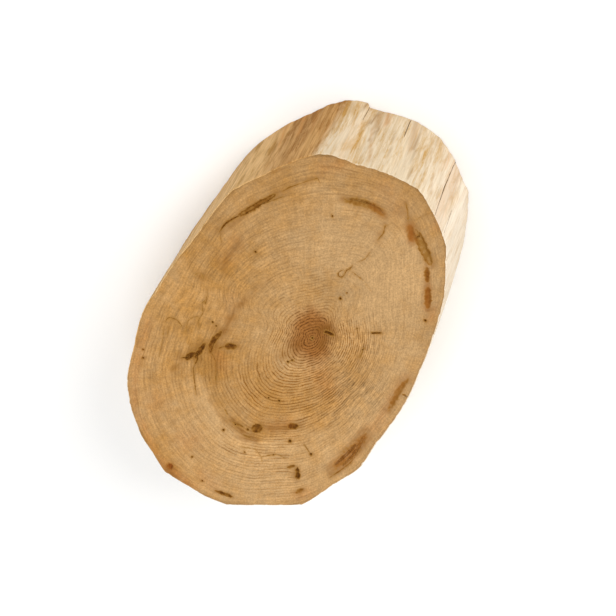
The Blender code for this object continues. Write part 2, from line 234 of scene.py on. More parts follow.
# Streaks in the peeled side: the grain's place and the height of each end, the width, and how dark and
# how rusty it is
SIDE_STREAKS = (
    ((193, 31, 0), (192.5, 33, 16), 1.6, 0.8, 0.0), ((192.5, 21, 12), (191.4, 24.2, 50), 1.6, 0.8, 0.0),
    ((193, 17, 0), (192, 19.5, 26), 1.7, 0.8, 0.0), ((194, 13, 4), (194.4, 10.5, 38), 1.5, 0.7, 0.0),
    ((194.4, 10.5, 36), (194.1, 11.5, 62), 1.5, 0.45, 0.0),
    ((194, 12, 34), (193, 14.7, 56), 1.4, 0.6, 0.0), ((193, 15.5, 2), (193, 14, 28), 5.5, 0.45, 0.2),
    ((195.3, 8.4, 0), (195.8, 6, 18), 4, 0.2, 0.7), ((200, -20, 4), (200, -25, 42), 5.5, 0.32, 0.3),
    ((200.6, -28, 0), (200.1, -27.9, 44), 1.5, 0.6, 0.0),
    ((198.4, -4.9, 32), (199.2, -8.8, 72), 1.4, 0.4, 0.0),
    ((192.4, 16.7, 36), (195.5, 6, 88), 2.2, 0.25, 0.35),
    ((199.8, -42, 14), (200.4, -47.5, 50), 1.6, 0.3, 0.1),
    ((200.2, -29.9, 46), (200.4, -30.8, 70), 1.3, 0.5, 0.0),
    ((200.6, -33.6, 74), (200.8, -34.2, 94), 1.3, 0.5, 0.0),
    ((190.6, -64, 2), (190.9, -64.4, 28), 2.2, 0.0, 0.45),
    ((192.7, -61.2, 20), (193.9, -60.2, 46), 1.7, 0.0, 0.4),
    ((197.3, -55.4, 62), (194.6, -59.9, 84), 2.2, 0.3, 0.2),
    ((177.7, -81.4, 4), (177.3, -82.8, 46), 3, 0.2, 0.3),
    ((152.8, 79.8, 8), (154.9, 77.8, 38), 3.2, 0.1, 0.9),
    ((135.4, 92.2, 6), (136.2, 90.2, 38), 4, 0.0, 0.7),
    ((165.5, 70.7, 4), (168.6, 67.7, 48), 3.2, 0.1, 0.7),
    ((159.2, 74.8, 30), (158.7, 74.6, 68), 2.2, 0.55, 0.1),
    ((149.4, 81.5, 42), (152.6, 78.6, 92), 2.6, 0.35, 0.0), ((176, 60, 0), (178, 58, 50), 4, 0.3, 0.1),
    ((169, 66, 0), (171, 64, 92), 3, 0.25, 0.0),
)

# The rings: how far one well-marked ring lies from the pith, by the bearing in degrees, the number of
# rings inside it and the number in all, and the least and the most of the spacing there that goes on
# outside it
MARKED_RING = (
    (0, 64), (26, 51), (56, 49), (89, 50), (106, 37), (122, 42), (138, 51), (152, 61), (164, 66),
    (175, 66), (188, 58), (202, 49), (216, 45), (236, 38), (269, 36), (302, 37), (332, 39), (351, 64),
)
RINGS_INSIDE = 17
RINGS_IN_ALL = 61
SPACING_KEPT = (0.5, 1.05)

# The brown heart's reach from the pith, by the bearing in degrees
HEART_REACH = (
    (0, 34), (28, 40), (60, 33), (90, 27), (120, 27), (150, 31), (180, 30), (212, 31), (240, 30),
    (256, 26), (270, 24), (300, 25), (330, 30),
)

# Where the rings stand out most: place, reach and how strongly
CLEAR_RINGS = (
    ((7, -29), 32, 0.85), ((12, -72), 18, 0.5), ((-68, -38), 42, 0.64), ((-62, -5), 34, 0.35),
    ((-38, -48), 24, 0.5), ((-46, -76), 28, 0.5), ((-96, 8), 28, 0.3), ((28, -64), 22, 1.0),
    ((-8, 0), 16, 0.35), ((-12, -86), 30, 0.3), ((-150, -38), 38, 0.45), ((-105, -68), 30, 0.2),
    ((-165, -75), 30, 0.25), ((-78, 45), 26, 0.3), ((-105, 95), 34, 0.17), ((50, -10), 30, 0.22),
    ((60, 40), 38, 0.1), ((176, 5), 24, 0.22), ((-185, 20), 30, 0.1), ((10, 85), 36, 0.14),
)

# Where the wood is streaked the most along its rings: place, reach and how strongly
RING_STREAKS = (
    ((20, 80), 45, 0.8), ((-45, 95), 36, 0.7), ((62, 58), 40, 0.5), ((-18, -92), 30, 1.7),
    ((-52, -86), 30, 1.1), ((32, -76), 24, 1.2), ((-150, -40), 40, 0.6), ((-185, 70), 36, 0.5),
    ((-100, 100), 36, 0.8), ((150, 40), 36, 0.6),
)

# Broad patches of the upper face: place, reach, and how much warmer and how much darker each is
PATCHES = (
    ((-70, 40), 34, 0.4, 0.2), ((-60, 75), 34, 0.25, 0.08), ((-45, 110), 40, 0.45, 0.05),
    ((-110, 95), 40, 0.3, 0.0), ((30, 90), 30, 0.35, 0.15), ((60, 84), 26, 0.2, 0.13),
    ((-190, 60), 50, 0.12, 0.0), ((110, -62), 55, -0.4, -0.06), ((120, 30), 40, -0.1, 0.02),
    ((178, 5), 30, 0.1, 0.12), ((172, -72), 26, 0.15, 0.05), ((130, 62), 30, 0.3, 0.12),
    ((-78, -30), 40, 0.25, 0.2), ((0, -110), 50, -0.1, 0.0), ((-5, 25), 34, -0.1, 0.05),
    ((-218, 36), 7, 0.8, 0.4), ((-205, 62), 14, 0.5, 0.1), ((-175, -60), 50, -0.1, -0.05),
    ((55, 10), 50, 0.0, 0.06), ((20, -41), 10, 0.3, 0.4), ((-8, -80), 32, 0.35, 0.28),
    ((62, -24), 26, 0.25, 0.34), ((132, -33), 30, 0.0, 0.14), ((134, 14), 30, 0.0, 0.1),
    ((80, 55), 32, 0.0, 0.15), ((52, 84), 18, -0.25, -0.1), ((-18, 92), 24, 0.0, -0.2),
    ((-68, -10), 28, 0.1, 0.12), ((-20, -75), 22, 0.0, 0.12), ((-86, -97), 24, -0.1, -0.16),
    ((64, -104), 28, 0.0, 0.13), ((-82, 110), 24, 0.0, 0.1), ((-158, 80), 30, -0.1, 0.09),
    ((-170, 44), 26, -0.1, 0.07), ((176, 3), 24, 0.0, -0.1), ((10, -118), 30, 0.0, 0.06),
    ((7, -29), 13, 0.2, 0.22), ((25, 90), 50, 0.1, 0.08), ((-95, -8), 34, 0.2, 0.0),
    ((-60, -50), 30, 0.15, 0.0), ((8, 44), 40, 0.4, 0.14), ((-58, -78), 30, 0.3, 0.18),
)

# A ring with brown wood inside it and pale wood outside, and the bearings from the pith, in degrees, over
# which each of the two comes in and goes out
PALE_EDGE = (
    (-75, 76), (-99, 48), (-117, 33), (-127, 19), (-134.5, 1), (-138.5, -15), (-132.5, -32), (-118, -50),
)
BROWN_FROM, PALE_FROM, EDGE_TO = (112, 130), (140, 156), (178, 204)

# The line from end to end of the arcs of grown-in bark, outside of which the wood is browner
BARK_LINE = (
    (40, 106), (62, 102), (104, 83), (126, 66), (146, 55), (156, 32), (154, 12), (163, -12), (164, -30),
    (169, -50), (155, -68), (141, -90), (121, -99), (98, -112), (60, -124), (20, -130),
)

# The mesh: the spacing of its points on each face, round the side and up it, and near a crack
FACE_SPACING = 1.8
UNDERSIDE_SPACING = 2.5
FACE_MARGIN = 1.9  # how far inside the eased rim each face's even spread of points ends
UNDERSIDE_MARGIN = 2.6
LEAST_GAP = 0.62  # how near a mark the spread comes, as a share of its spacing
SIDE_SPACING = 2.2
SIDE_RISE = 2.4
SIDE_START = 2.7  # how far from each cut face the side's even rows start
CRACK_SPACING = 0.25
CRACK_REACH = 3.0
CORNER_ROUNDING = 0.9
CORNER_CLEARANCE = 1.3  # how near a corner, which has columns of its own, the even columns come
RIM_RADIUS = 0.9
RIM_STEPS = (90, 60, 30, 0)  # degrees round the eased rim, from the face to the side
SHARP_ANGLE = 48
BEARING_BLUR = 12  # degrees to each side over which values by bearing are smoothed

# Smooth changes from place to place: each how much, over what length, and a number that sets it apart from
# the others, times how far apart they lie in the noise
DRIFT_APART = 17.3
RING_DRIFTS = ((0.55, 42, 1), (0.16, 13, 2))
SHOWING_DRIFTS = ((0.5, 24, 3),)
HEART_DRIFTS = ((4.0, 11, 4),)
WARMTH_DRIFTS = ((0.22, 55, 5), (0.15, 18, 6))
SHADE_DRIFTS = ((0.10, 30, 7),)
RIM_DRIFTS = ((0.3, 12, 8), (0.15, 4, 9))
CHIP_DRIFTS = ((1.0, 6, 10),)
BARK_LINE_DRIFTS = ((2.5, 16, 15),)
FACE_DRIFTS = ((0.10, 45, 20), (0.04, 12, 21))

# The rings and the heart
RINGS_SHOW = 0.09  # how much rings show where CLEAR_RINGS has nothing
RING_BEND = 0.5  # how far they bend at a pocket, in rings
RING_BEND_REACH = (1.2, 3)  # over what length: so many of the pocket's widths, and this much more
HEART_FADE = (-16, 11)  # where the heart starts and stops fading, from its reach

# Tints: on the two sides of the pale edge how far each reaches, and how much warmer and darker it is, then
# the same for the wood outside the line of bark and for the edge of the face
BROWN_SIDE = (20, 0.3, 0.25)
PALE_SIDE = (24, -0.3, -0.22)
PALE_EDGE_BLUR = 2.5
BARK_LINE_MIDDLE = 6  # its bearing from the pith, in degrees, and how far round it fades out
BARK_LINE_ENDS = (66, 86)
BARK_LINE_BLUR = (-5, 3)
BARK_LINE_TINT = (0.1, 0.2)
EDGE_WARMTH = (0.25, 4)  # how much, and over what length from the edge
EDGE_SHADE = (0.14, 3)
RIM_SHADE = (0.4, 2.0)

# The brown halo round each kind of mark: how dark it is and how far out it fades
POCKET_HALO = (0.36, 1.8)
LINE_HALO = (0.35, 1.4)
SPECK_HALO = (0.4, 1.4)

# Troughs: the greatest widths of a hair line and of a thin one, the spacing of points along a hair line
# and along others, and how ragged and full they are
HAIR_LINE = 1.7
THIN_LINE = 3
HAIR_STEP = 0.7
TROUGH_STEP = 0.9
BEND_LENGTH = 4  # the length that a path's bends are rounded over
TROUGH_FULLNESS = 0.38  # the lower, the sooner a trough reaches its width from its ends
TROUGH_RAGGED = (0.68, 1.22)
TROUGH_ROUGHNESS = 0.2
LEAST_HALF_WIDTH = 0.2
END_DEPTH = 0.25  # the depth left at the ends, as a share
END_DARKNESS = 0.35  # the darkness left there, and the share of its full width where it is dark again
END_REACH = 0.75
LINE_EDGE = 0.4  # how dark a fine line's edges are, as a share of its middle

# Pinholes: the foot's radius over the mouth's, the depths in the middle and at the foot over the radius,
# and how dark the foot and the mouth are
PINHOLE_SIDES = 8
PINHOLE_FOOT = 0.45
PINHOLE_DEPTHS = (0.9, 0.7)
PINHOLE_DARKS = (1.3, 0.5)

# Cracks: what is left of one at its ends, how soon it opens, how far it wanders over what length, its least
# half width, and how far in its painted shade is as dark as it gets
CRACK_END = 0.05
CRACK_OPENING = 4
CRACK_WANDER = (0.35, 25)
CRACK_LEAST = 0.3
CRACK_LIP = 0.35
CRACK_APART = 3.1  # how far apart in the noise one crack's wandering is from the next
STREAK_REACH = 0.62  # how far out a streak fades, over its width
STREAK_RISE = 0.3  # the lower, the further it fades past its ends

# The hewn side's relief: how deep, how much longer up the grain than across it, over what length, and a
# number that sets it apart. Then the drawknife's gouges, cut where the drift is in a range, and the chips
# in the upper rim, in the same way.
SIDE_RELIEF = ((0.35, 3, 40, 11), (0.12, 3, 12, 12), (0.13, 16, 2.8, 13))
GOUGE = (0.4, 9, 6.5, 14)
GOUGE_RANGE = (0.18, 0.32)
CHIP_SIZE = 0.5
CHIP_RANGE = (0.42, 0.65)
FACE_SINK = 0.12  # how far the upper face's wave lies under the rim, so that it stays in the solid

# The side's tints, by bearing in degrees about the middle: it is browner past the ridge, partly from inner
# bark and partly as painted shade on the flank turned from the key light, given at the upper face with how
# far each end leans by the foot, and less so further round, where the lightening is painted fill light
RIDGE = (15.4, 18.6)
RIDGE_LEAN = (3.4, 1.9)
LESS_BROWN = (27, 42)
LESS_BROWN_BY = 0.76
GOLDEN_FROM = (22, 34)
BACK_FROM = (120, 170)
BLEACHED_TO = (-30, -6)
RUST_ON_SIDE = 0.5  # how much of the upper face's rust runs down the side

# Dry wood: a common IOR for timber, with its gloss broken up by pores that are too fine to see
WOOD_IOR = 1.5
DRY_SHEEN = 0.12

# Patterns of the sawn face. Poplar's pores and rays are a tenth of a millimetre wide, too fine to show
# here, so they are drawn coarser.
PORES = 1.7
CLOUDS = 14
CRUST = 4.0
RING_WANDER = 7
RAY_LENGTH = 16
RAYS_ROUND = 44.0  # each one of these makes about six rays, or smears, on the way round the pith
SMEARS_ROUND = 5.0
FACE_RELIEF = 0.15  # how far rings and pores stand out of the sanded face

# Patterns of the peeled side: the width across the grain, the length up it and the detail. Poplar's fibres
# are a twentieth of a millimetre wide, too fine to show here, so they are drawn coarser.
SIDE_PATTERNS = {
    "streak": (3.6, 62, 3.0),
    "fibre": (1.3, 30, 2.0),
    "patch": (14, 62, 4.0),
    "band": (7, 50, 3.0),
    "nick": (2.6, 20, 2.0),
}
FIBRE_RELIEF = 0.3  # how far fibres stand out of the side

# The floor's size, and how far it lies under the slice so that the two don't show through each other
FLOOR_HALF = 30.0
FLOOR_DROP = 0.0003

# The camera's place in the frame, and what is to its right and up from it
CAMERA_PLACE = (0.58585, -0.01083, 1.1781)
CAMERA_RIGHT = (0.4323, -0.8744, -0.2203)
CAMERA_UP = (0.7791, 0.4852, -0.3970)

# What a range node turns a range from and to, in the order that the materials give it
RANGE = ("From Min", "From Max", "To Min", "To Max")

CORNER_PLACES = np.array([corner[:2] for corner in CORNERS], float)
CORNER_PROUD = np.array([corner[2] for corner in CORNERS], float)
EDGE_LENGTHS = np.linalg.norm(np.roll(CORNER_PLACES, -1, 0) - CORNER_PLACES, axis=1)
EDGE_STARTS = np.concatenate(([0], np.cumsum(EDGE_LENGTHS)[:-1]))
WAY_ROUND = EDGE_LENGTHS.sum()


def eased(low, high, value):
    """0 up to low and 1 from high on, with an eased rise between them."""
    share = np.clip((value - low) / (high - low), 0, 1)
    return share * share * (3 - 2 * share)


def soft(distance, reach):
    """1 at no distance, about a third at the reach and next to nothing at twice the reach."""
    return np.exp(-((distance / reach) ** 2))


def drift(points, size, seed=0):
    """Smooth noise between about -1 and 1, which changes over a length of size."""
    scaled = points / size + DRIFT_APART * seed
    return np.array([noise.noise(Vector(row)) for row in scaled])


def drifts(points, layers):
    """Layers of smooth noise, added up."""
    return sum(amount * drift(points, size, seed) for amount, size, seed in layers)


def at_foot(places):
    """Where the grain at places on the upper face comes out on the lower face."""
    return places * FOOT_SWELL + FOOT_SHIFT


def grain_through(places, heights):
    """Where the grain at places and heights in the slice comes out on the upper face."""
    drop = (1 - heights / THICKNESS)[:, None]
    return (places - FOOT_SHIFT * drop) / (1 + (FOOT_SWELL - 1) * drop)


def edge_draws():
    """How far each corner's edge wanders along the side and bows out of it, halfway up."""
    draw = random.Random(SEED)
    wander = np.array([draw.uniform(-EDGE_WANDER, EDGE_WANDER) for _ in CORNERS])
    bow = np.array([draw.uniform(-SIDE_BOW, SIDE_BOW) for _ in CORNERS])
    return wander, bow


WANDER, BOW = edge_draws()


def across_line(along):
    """The unit normals to the right of some directions, which point out of an anticlockwise line."""
    return np.stack((along[:, 1], -along[:, 0]), 1) / np.linalg.norm(along, axis=1)[:, None]


def outward(line):
    """The unit normal at each point of a closed anticlockwise line."""
    return across_line(np.roll(line, -1, 0) - np.roll(line, 1, 0))


def corner_ring(rise):
    """The flats' corners at a share of the thickness."""
    drop = 1 - rise
    even = at_foot(CORNER_PLACES) * drop + CORNER_PLACES * rise
    away = CORNER_PLACES / np.linalg.norm(CORNER_PLACES, axis=1)[:, None]
    ring = even + away * (CORNER_PROUD * drop ** 2)[:, None]
    normal = outward(ring)
    along = np.stack((-normal[:, 1], normal[:, 0]), 1)
    sag = math.sin(math.pi * rise)
    return ring + sag * (along * WANDER[:, None] + normal * BOW[:, None])


def side_line(rise, way):
    """The side at a share of the thickness, for distances round the upper face's edge."""
    ring = corner_ring(rise)
    total = np.zeros((len(way), 2))
    offsets = np.array((-1, -0.5, 0, 0.5, 1)) * CORNER_ROUNDING
    for offset in offsets:
        place = (way + offset) % WAY_ROUND
        edge = np.searchsorted(EDGE_STARTS, place, side="right") - 1
        share = ((place - EDGE_STARTS[edge]) / EDGE_LENGTHS[edge])[:, None]
        start = ring[edge]
        along = ring[(edge + 1) % len(ring)] - start
        crown = 4 * FLAT_CROWN * EDGE_LENGTHS[edge][:, None] * share * (1 - share)
        total += start + along * share + across_line(along) * crown
    return total / len(offsets)


def whole_line(rise):
    """The side at a share of the thickness, all the way round, with a point every millimetre."""
    return side_line(rise, np.arange(0, WAY_ROUND, 1.0))


def polar(places, centre=PITH):
    """The bearing and the distance of places from a centre."""
    away = places - centre
    return np.arctan2(away[:, 1], away[:, 0]), np.linalg.norm(away, axis=1)


def by_bearing(known, bearings):
    """Values by bearing, from those known at some degrees, run smoothly round the circle."""
    degrees, values = np.array(known, float).T
    order = np.argsort(degrees % 360)
    table = np.interp(np.arange(360), (degrees % 360)[order], values[order], period=360)
    window = np.hanning(2 * BEARING_BLUR + 1)
    wrapped = np.concatenate((table[-BEARING_BLUR:], table, table[:BEARING_BLUR]))
    table = np.convolve(wrapped, window / window.sum(), "valid")
    return np.interp(np.degrees(bearings) % 360, np.arange(360), table, period=360)


def edge_reach(bearings):
    """How far the edge of the upper face is from the pith, by bearing."""
    bearing, reach = polar(whole_line(1))
    return by_bearing(np.stack((np.degrees(bearing), reach), 1), bearings)


def ring_number(grain):
    """How many rings lie inside each place on the upper face, as a smooth number."""
    bearing, reach = polar(grain)
    marked = by_bearing(MARKED_RING, bearing)
    beyond = edge_reach(bearing) - marked
    outer_rings = RINGS_IN_ALL - RINGS_INSIDE
    share = (reach - marked) / beyond
    kept = np.clip(RINGS_INSIDE / marked * beyond / outer_rings, *SPACING_KEPT)
    outside = RINGS_INSIDE + outer_rings * share * (kept + (1 - kept) * share)
    return np.where(reach < marked, RINGS_INSIDE * reach / marked, outside)


def off_line(points, path):
    """The distance of each point from a path, and the side that it lies on: 1 to the left of it."""
    nearest = np.full(len(points), np.inf)
    side = np.ones(len(points))
    for start, end in zip(path, path[1:]):
        start, end = np.array(start, float), np.array(end, float)
        along = end - start
        share = np.clip((points - start) @ along / (along @ along), 0, 1)
        away = points - (start + share[:, None] * along)
        distance = np.linalg.norm(away, axis=1)
        closer = distance < nearest
        cross = along[0] * away[:, 1] - along[1] * away[:, 0]
        side[closer] = np.sign(cross[closer])
        nearest = np.minimum(nearest, distance)
    return nearest, side


def patchwork(grain, spots, part=0):
    """The sum of soft round patches at each place. Each row of spots is a place, a reach and amounts."""
    total = np.zeros(len(grain))
    for place, reach, *amounts in spots:
        total += amounts[part] * soft(np.linalg.norm(grain - np.array(place), axis=1), reach)
    return total


def fields(grain):
    """What the wood is like at each place: its ring number, how the rings show, and its tints."""
    flat = np.column_stack((grain, np.zeros(len(grain))))
    bearing, reach = polar(grain)
    degrees = np.degrees(bearing) % 360
    ring = ring_number(grain) + drifts(flat, RING_DRIFTS)
    for path, width, *_ in POCKETS.values():
        distance, _ = off_line(grain, path)
        ring = ring - RING_BEND * soft(distance, width * RING_BEND_REACH[0] + RING_BEND_REACH[1])
    showing = (RINGS_SHOW + patchwork(grain, CLEAR_RINGS)) * (1 + drifts(flat, SHOWING_DRIFTS))
    streaked = 1 + patchwork(grain, RING_STREAKS)
    heart = 1 - eased(*HEART_FADE, reach - by_bearing(HEART_REACH, bearing) + drifts(flat, HEART_DRIFTS))

    warmth = patchwork(grain, PATCHES, 0) + drifts(flat, WARMTH_DRIFTS)
    shade = patchwork(grain, PATCHES, 1) + drifts(flat, SHADE_DRIFTS)
    distance, side = off_line(grain, PALE_EDGE)
    for here, start, tint in ((side > 0, BROWN_FROM, BROWN_SIDE), (side < 0, PALE_FROM, PALE_SIDE)):
        width, warmer, darker = tint
        amount = np.where(here, soft(distance, width), soft(distance, PALE_EDGE_BLUR))
        amount = amount * eased(*start, degrees) * (1 - eased(*EDGE_TO, degrees))
        warmth = warmth + warmer * amount
        shade = shade + darker * amount

    distance, side = off_line(grain, BARK_LINE)
    spread = 1 - eased(*BARK_LINE_ENDS, np.abs((degrees - BARK_LINE_MIDDLE + 180) % 360 - 180))
    outer = spread * eased(*BARK_LINE_BLUR, side * distance + drifts(flat, BARK_LINE_DRIFTS))
    edge = np.clip(edge_reach(bearing) - reach, 0, None)
    warmth = warmth + BARK_LINE_TINT[0] * outer + EDGE_WARMTH[0] * np.exp(-edge / EDGE_WARMTH[1])
    shade = shade + BARK_LINE_TINT[1] * outer + EDGE_SHADE[0] * np.exp(-edge / EDGE_SHADE[1])
    shade = shade + RIM_SHADE[0] * soft(edge, RIM_SHADE[1])
    rust = np.zeros(len(grain))
    for path, width, amount in RUST:
        rust = np.maximum(rust, amount * soft(off_line(grain, path)[0], width))
    return {"ring": ring, "ring_showing": showing, "streaked": streaked, "heart": heart, "warmth": warmth,
            "shade": shade, "rust": rust}


def stain_round(grain, pockets, lines, specks):
    """The soft brown halo round marks, and the smudges."""
    halos = [(off_line(grain, path)[0] - width / 2, 1, POCKET_HALO)
             for path, width, *_ in pockets.values()]
    halos += [(off_line(grain, path)[0] - width / 2, dark, LINE_HALO)
              for path, width, _, dark in lines.values()]
    halos += [(polar(grain, np.array((x, y)))[1] - radius, dark, SPECK_HALO)
              for x, y, radius, dark in specks]
    stain = np.zeros(len(grain))
    for beyond, dark, (amount, reach) in halos:
        stain = np.maximum(stain, amount * dark * np.exp(-np.clip(beyond, 0, None) / reach))
    for path, reach, dark in SMUDGES:
        stain = np.maximum(stain, dark * soft(off_line(grain, path)[0], reach))
    return stain


def along_path(path, step):
    """Points every step along a path with its bends rounded, and the unit vector across it at each."""
    path = np.array(path, float)
    lengths = np.concatenate(([0], np.cumsum(np.linalg.norm(np.diff(path, axis=0), axis=1))))
    count = max(5, round(lengths[-1] / step) + 1)
    way = np.linspace(0, lengths[-1], count)
    line = np.stack([np.interp(way, lengths, path[:, axis]) for axis in (0, 1)], 1)
    for _ in range(round(BEND_LENGTH / step)):
        line[1:-1] = (line[:-2] + 2 * line[1:-1] + line[2:]) / 4
    return line, -across_line(np.gradient(line, axis=0))


def trough(path, width, depth, middle_dark, edge_dark, draw):
    """A ragged trough: for its points, the place on the face, the depth, and how dark it is there."""
    line, across = along_path(path, TROUGH_STEP if width > HAIR_LINE else HAIR_STEP)
    count = len(line)
    rows, steepness = 3, 2
    if width > THIN_LINE:
        rows, steepness = 2 * round(width / 2) + 3, 4
    elif width > HAIR_LINE:
        rows = 5
    swell = np.sin(np.pi * (np.arange(count) + 0.5) / count) ** TROUGH_FULLNESS
    ragged = draw.uniform(*TROUGH_RAGGED, (2, count))
    ragged = (ragged + np.roll(ragged, 1, 1) + np.roll(ragged, -1, 1)) / 3
    ends = END_DARKNESS + (1 - END_DARKNESS) * np.minimum(1, swell / END_REACH)
    places, downs, darks = [], [], []
    for row in np.linspace(-1, 1, rows):
        half = np.maximum(LEAST_HALF_WIDTH, width / 2 * swell * ragged[int(row > 0)])
        places.append(line + across * (row * half)[:, None])
        rough = 1 + draw.uniform(-TROUGH_ROUGHNESS, TROUGH_ROUGHNESS, count)
        downs.append(depth * (1 - abs(row) ** steepness) * np.maximum(END_DEPTH, swell) * rough)
        darks.append((middle_dark + (edge_dark - middle_dark) * row ** 2) * ends)
    return np.concatenate(places), np.concatenate(downs), np.concatenate(darks)


def pinhole(x, y, radius, dark):
    """A pinhole: a point in its middle and a ring at its foot and at its mouth, as trough gives them."""
    turns = np.radians(np.arange(0, 360, 360 / PINHOLE_SIDES))
    ring = np.stack((np.cos(turns), np.sin(turns)), 1) * radius
    places = np.concatenate(([(0, 0)], ring * PINHOLE_FOOT, ring)) + np.array((x, y))
    counts = (1, PINHOLE_SIDES, PINHOLE_SIDES)
    middle, foot = PINHOLE_DEPTHS
    inner, mouth = PINHOLE_DARKS
    downs = np.repeat((middle, foot, 0), counts) * radius
    return places, downs, np.repeat((inner, inner, mouth), counts) * dark


def within(places, line, centre, margin):
    """Which places lie inside a closed line by more than a margin, seen from its centre."""
    bearings, reaches = polar(line, centre)
    bearing, reach = polar(places, centre)
    limit = np.interp(bearing, bearings, reaches, period=2 * np.pi)
    return reach < limit - margin


def face_points(edge, marks, spacing, line, centre, margin):
    """Places for a cut face's points, inside its edge, with their depth and darkness: those of the marks
    and an even spread between them."""
    places, downs, darks = (np.concatenate(parts) for parts in zip(*marks))
    low, high = edge.min(0), edge.max(0)
    spread = []
    for number, y in enumerate(np.arange(low[1], high[1], spacing * math.sqrt(0.75))):
        xs = np.arange(low[0] + (number % 2) * spacing / 2, high[0], spacing)
        spread.append(np.stack((xs, np.full(len(xs), y)), 1))
    spread = np.concatenate(spread)
    spread = spread[within(spread, line, centre, margin)]
    taken = np.concatenate((places, edge))
    tree = kdtree.KDTree(len(taken))
    for index, (x, y) in enumerate(taken):
        tree.insert((x, y, 0), index)
    tree.balance()
    spread = spread[[tree.find((x, y, 0))[2] > LEAST_GAP * spacing for x, y in spread]]
    nothing = np.zeros(len(spread))
    pairs = ((places, spread), (downs, nothing), (darks, nothing))
    return [np.concatenate(pair) for pair in pairs]


def triangulated(edge, places):
    """Triangles over a face. Point numbers below the edge's count are the edge's own."""
    points = [Vector(point) for point in np.concatenate((edge, places))]
    _, _, triangles, sources, _, _ = geometry.delaunay_2d_cdt(points, [], [list(range(len(edge)))], 1, 1e-6)
    return [[sources[corner][0] for corner in triangle] for triangle in triangles]


def side_columns():
    """Distances round the edge for the side's columns of points, close together at corners and cracks, and
    how far round each crack is."""
    columns = np.linspace(0, WAY_ROUND, round(WAY_ROUND / SIDE_SPACING), endpoint=False)
    for start in EDGE_STARTS:
        round_to_it = np.abs((columns - start + WAY_ROUND / 2) % WAY_ROUND - WAY_ROUND / 2)
        columns = columns[round_to_it > CORNER_CLEARANCE]
    offsets = (-CORNER_ROUNDING, 0, CORNER_ROUNDING)
    corners = [(start + offset) % WAY_ROUND for start in EDGE_STARTS for offset in offsets]
    columns = np.concatenate((columns, corners))
    fine_way = np.arange(0, WAY_ROUND, CRACK_SPACING)
    fine_line = side_line(1, fine_way)
    centres = []
    for foot, *_ in CRACKS.values():
        upper = (np.array(foot) - FOOT_SHIFT) / FOOT_SWELL
        centre = fine_way[np.argmin(np.linalg.norm(fine_line - upper, axis=1))]
        columns = columns[np.abs(columns - centre) > CRACK_REACH + CRACK_SPACING]
        centres.append(centre)
    offsets = np.arange(-CRACK_REACH, CRACK_REACH + CRACK_SPACING / 2, CRACK_SPACING)
    near = [centre + offsets for centre in centres]
    return np.sort(np.concatenate([columns, *near])), centres


def crack_depth(way, height, centres):
    """How far the side is drawn in by cracks at one height, and how dark the painted shade inside a crack
    makes each column.
    """
    inward = np.zeros(len(way))
    darkness = np.zeros(len(way))
    for number, (_, start, end, width, depth, dark) in enumerate(CRACKS.values()):
        if not start < height < end:
            continue
        share = (height - start) / (end - start)
        fade = 1.0
        if start >= 0:
            fade = min(fade, CRACK_END + CRACK_OPENING * share)
        if end <= THICKNESS:
            fade = min(fade, CRACK_END + CRACK_OPENING * (1 - share))
        wander = CRACK_WANDER[0] * noise.noise(Vector((height / CRACK_WANDER[1], CRACK_APART * number, 0)))
        half = max(CRACK_LEAST, fade * width / 2)
        in_crack = np.clip(1 - np.abs(way - centres[number] - wander) / half, 0, 1)
        inward = np.maximum(inward, in_crack * depth * fade)
        darkness = np.maximum(darkness, dark * eased(0, CRACK_LIP, in_crack))
    return inward, darkness


def side_streaks(points):
    """How dark and how rusty the side's streaks make each point, from its grain's place and its height."""
    dark = np.zeros(len(points))
    rust = np.zeros(len(points))
    for start, end, width, darker, rustier in SIDE_STREAKS:
        start, end = np.array(start, float), np.array(end, float)
        along = end - start
        share = np.clip((points - start) @ along / (along @ along), 0, 1)
        away = points - (start + share[:, None] * along)
        away[:, 2] *= STREAK_RISE
        near = soft(np.linalg.norm(away, axis=1), STREAK_REACH * width)
        dark = np.maximum(dark, darker * near)
        rust = np.maximum(rust, rustier * near)
    return dark, rust


def side_rows():
    """The side's rows from the foot up: the height that each is reckoned from, and how far up from that and
    in from the side its points lie, as shares of the eased rim's radius."""
    turns = [math.radians(degrees) for degrees in RIM_STEPS]
    rim = [(1 - math.sin(turn), 1 - math.cos(turn)) for turn in turns]
    count = round((THICKNESS - 2 * SIDE_START) / SIDE_RISE)
    middle = np.linspace(SIDE_START, THICKNESS - SIDE_START, count)
    rows = [(0, up, inward) for up, inward in rim]
    rows += [(height, 0, 0) for height in middle]
    return rows + [(THICKNESS, -up, inward) for up, inward in reversed(rim)]


def side_points():
    """Points of the side as arrays of rows by columns: the place, and how dark the painted shade inside a
    crack makes it.
    """
    way, centres = side_columns()
    flat = np.column_stack((side_line(1, way), np.zeros(len(way))))
    radius = RIM_RADIUS * (1 + drifts(flat, RIM_DRIFTS))
    chips = CHIP_SIZE * eased(*CHIP_RANGE, drifts(flat, CHIP_DRIFTS))
    sections, darks = [], []
    for base, up, inward_share in side_rows():
        rim = radius + chips if base == THICKNESS else radius
        heights = base + up * rim
        level = float(heights.mean())
        line = side_line(level / THICKNESS, way)
        grain = grain_through(line, heights)
        relief = sum(
            amount * drift(np.column_stack((grain, heights / stretch)), size, seed)
            for amount, stretch, size, seed in SIDE_RELIEF
        )
        depth, stretch, size, seed = GOUGE
        gouged = drift(np.column_stack((grain, heights / stretch)), size, seed)
        relief = relief - depth * eased(*GOUGE_RANGE, gouged)
        place = line + outward(line) * (relief - inward_share * rim)[:, None]
        inward, dark = crack_depth(way, level, centres)
        to_pith = PITH - grain
        to_pith /= np.linalg.norm(to_pith, axis=1)[:, None]
        sections.append(np.column_stack((place + to_pith * inward[:, None], heights)))
        darks.append(dark)
    return np.array(sections), np.array(darks)


